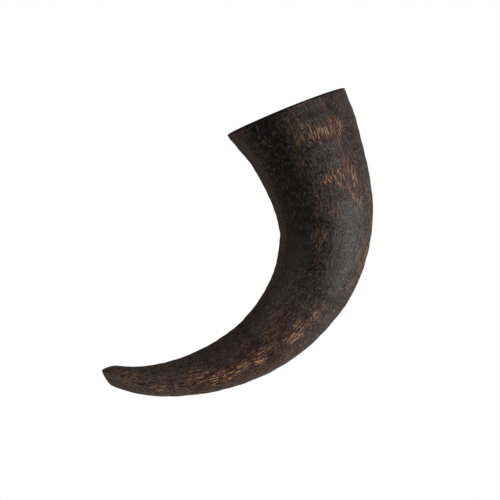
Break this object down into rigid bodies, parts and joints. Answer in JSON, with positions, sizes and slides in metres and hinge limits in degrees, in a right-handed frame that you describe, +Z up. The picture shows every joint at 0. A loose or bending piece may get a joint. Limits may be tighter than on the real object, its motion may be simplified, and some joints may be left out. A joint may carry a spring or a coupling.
{
  "type": "shofar",
  "caption": "Natural horn trumpet of one curved dark bovine horn, sawn open at the wide end and drilled through its cut tip to be blown.",
  "frame": {"origin": "middle of the footprint of the horn lying on its flank, on the surface it lies on", "axes": "+Z up from the surface, +Y out of the mouth square to the saw cut, +X to the outer side of the bend with the tip curling round to -X"},
  "size_m": [0.2055, 0.1452, 0.0672],
  "materials": {
    "horn": "satin, very dark brown horn with pale lengthwise streaks"
  },
  "bodies": {
    "root": {"horn_bell": "horn", "horn_bend": "horn", "horn_throat": "horn", "horn_tip": "horn"}
  },
  "joints": []
}
